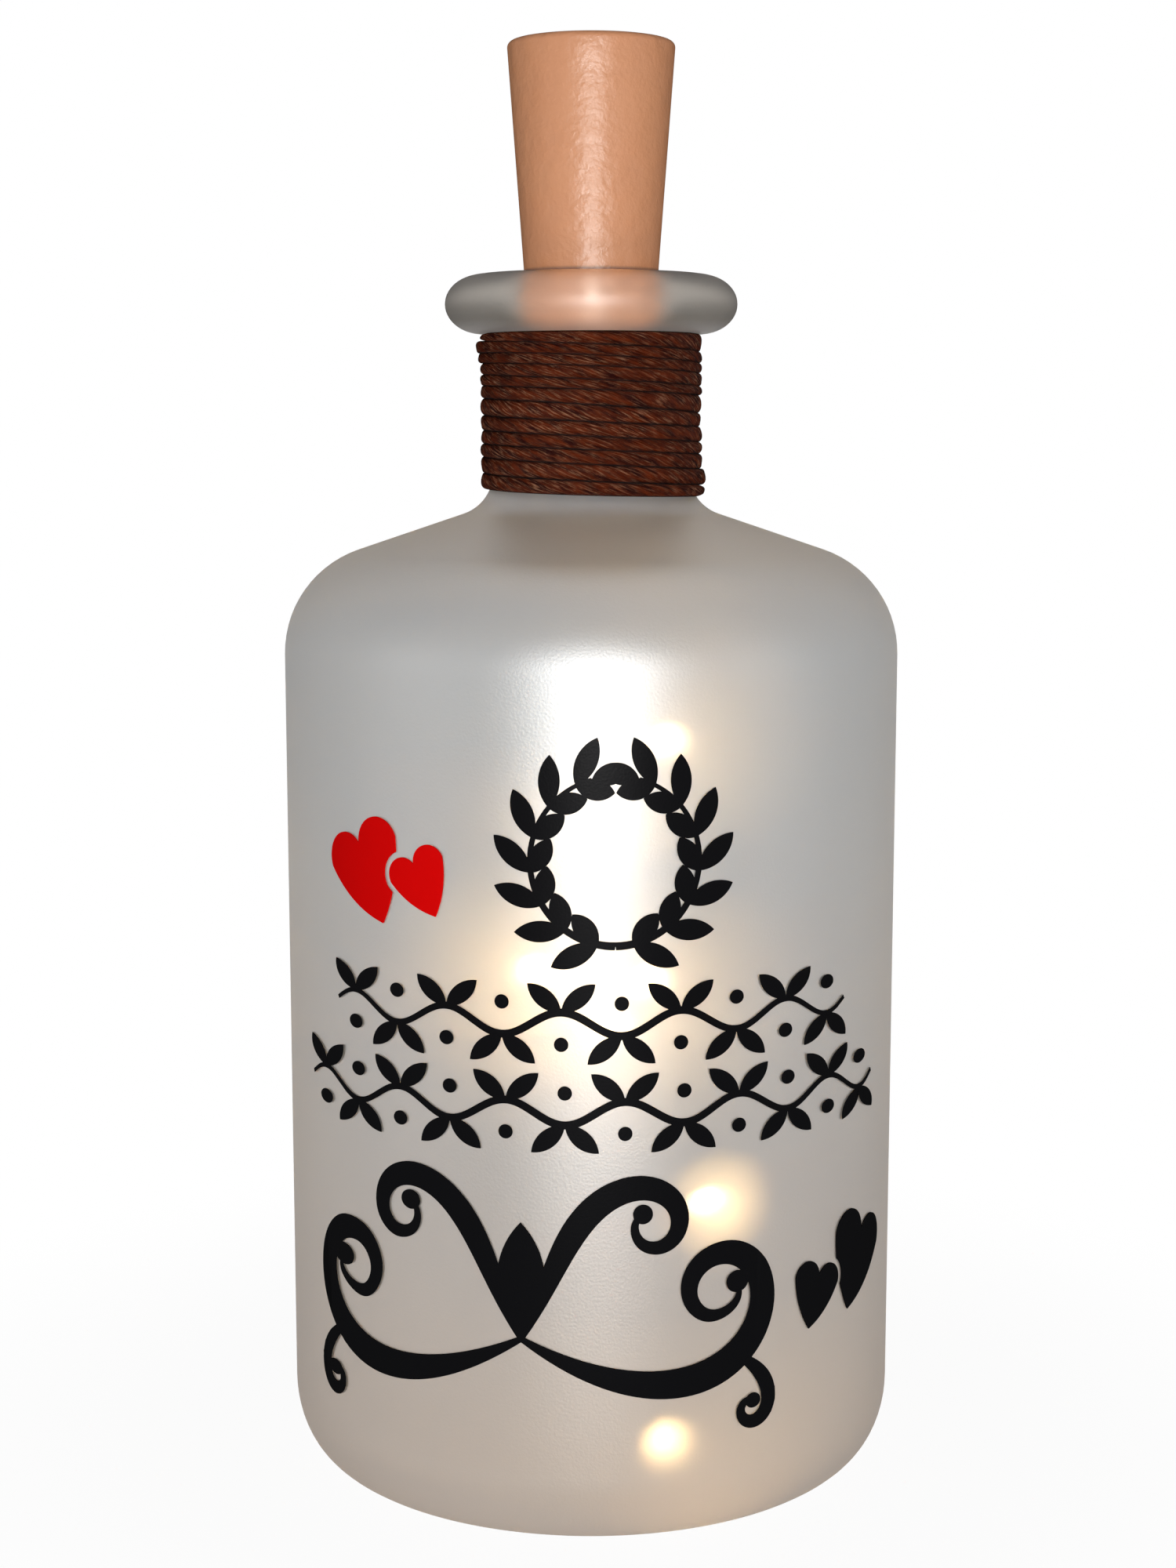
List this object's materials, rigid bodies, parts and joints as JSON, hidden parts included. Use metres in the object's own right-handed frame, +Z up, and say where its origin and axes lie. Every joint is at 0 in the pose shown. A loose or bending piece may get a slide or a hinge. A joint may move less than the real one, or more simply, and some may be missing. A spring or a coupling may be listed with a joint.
{
  "type": "cork bottle light",
  "caption": "Frosted glass bottle with corded neck and film decoration, lit from inside by a wire light string that hangs from a cork-shaped battery case",
  "frame": {"origin": "middle of the bottle's resting ring, on the surface it stands on", "axes": "+Z up along the bottle's axis, decorated side towards -Y, +X to the right of someone who faces the decoration"},
  "size_m": [0.084, 0.0842, 0.1942],
  "materials": {
    "bottle_glass": "frosted",
    "twine": "waxed",
    "red_film": "matt",
    "black_film": "matt",
    "cork_plastic": "satin",
    "tube_plastic": "plain",
    "nickel": "nickel plated",
    "cell_steel": "polished",
    "seal": "plain",
    "grommet": "plain",
    "copper_wire": "enamelled",
    "clear_resin": "clear",
    "led_chip": "phosphor",
    "board": "solder mask",
    "resistor": "plain",
    "slider_plastic": "plain"
  },
  "bodies": {
    "bottle": {"bottle_glass": "bottle_glass", "neck_twine": "twine", "heart_red_large": "red_film", "heart_red_small": "red_film", "heart_black_large": "black_film", "heart_black_small": "black_film", "wreath_film": "black_film", "vine_film_upper": "black_film", "vine_film_lower": "black_film", "scroll_film": "black_film"},
    "cork": {"cork_case": "cork_plastic", "battery_tube": "tube_plastic", "spring_plate": "nickel", "contact_spring": "nickel", "cell_1": "cell_steel", "cell_2": "cell_steel", "cell_3": "cell_steel", "cell_rings": "seal", "cell_caps": "cell_steel", "side_strip": "nickel", "wire_grommet": "grommet", "lead_wires": "copper_wire", "light_string": "copper_wire", "led_drops": "clear_resin", "led_chips": "led_chip"},
    "cap": {"cork_cap": "cork_plastic", "switch_frame": "nickel", "cap_board": "board", "limiting_resistor": "resistor", "contact_plate": "nickel"},
    "switch": {"switch_slider": "slider_plastic"}
  },
  "joints": [
    {"name": "cork_lift", "type": "slide", "parent": "bottle", "child": "cork", "axis": [0, 0, 1], "range_m": [0, 0.016]},
    {"name": "cap_pull", "type": "slide", "parent": "cork", "child": "cap", "axis": [0, 0, 1], "range_m": [0, 0.01]},
    {"name": "switch_slide", "type": "slide", "parent": "cap", "child": "switch", "axis": [1, 0, 0], "range_m": [-0.002, 0]}
  ]
}
